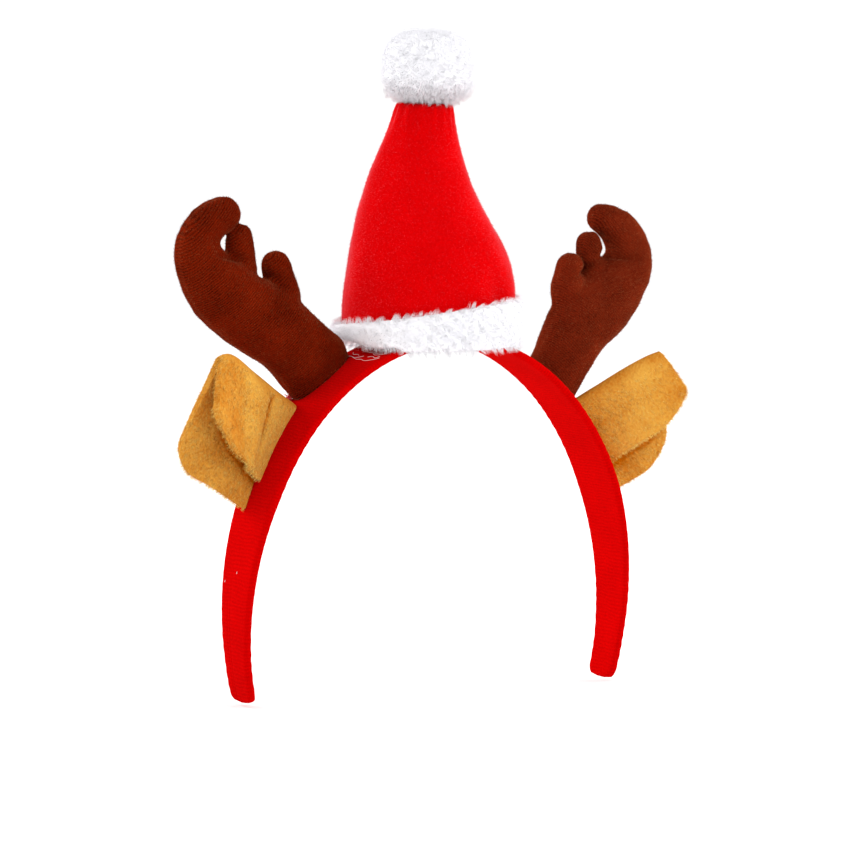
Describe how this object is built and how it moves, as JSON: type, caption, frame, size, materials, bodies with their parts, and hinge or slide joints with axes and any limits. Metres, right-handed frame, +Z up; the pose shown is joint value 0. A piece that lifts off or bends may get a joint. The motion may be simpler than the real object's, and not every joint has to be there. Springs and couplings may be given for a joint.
{
  "type": "reindeer antler headband with miniature santa hat",
  "caption": "Red cloth hair band arch with a small stuffed cone hat, white fur brim and pom-pom, stuffed brown antlers and folded tan plush ears.",
  "frame": {"origin": "the inner face of the band at its highest point, where the crown of the head sits", "axes": "+Z up, -Y towards the front of the head, +X to the right as seen from the front; left and right in the node names are as seen from the front"},
  "size_m": [0.208, 0.072, 0.2378],
  "materials": {
    "headband": "red ribbed cloth over a thin padded strip",
    "hat_cone": "red velour",
    "hat_brim": "white short fur",
    "pompom": "white short fur",
    "antler_left": "dark brown finely ribbed velour",
    "antler_right": "dark brown finely ribbed velour",
    "ear_left": "tan short-pile plush",
    "ear_right": "tan short-pile plush"
  },
  "bodies": {
    "root": {"headband": "headband", "hat_cone": "hat_cone", "hat_brim": "hat_brim", "pompom": "pompom", "antler_left": "antler_left", "antler_right": "antler_right", "ear_left": "ear_left", "ear_right": "ear_right"}
  },
  "joints": []
}
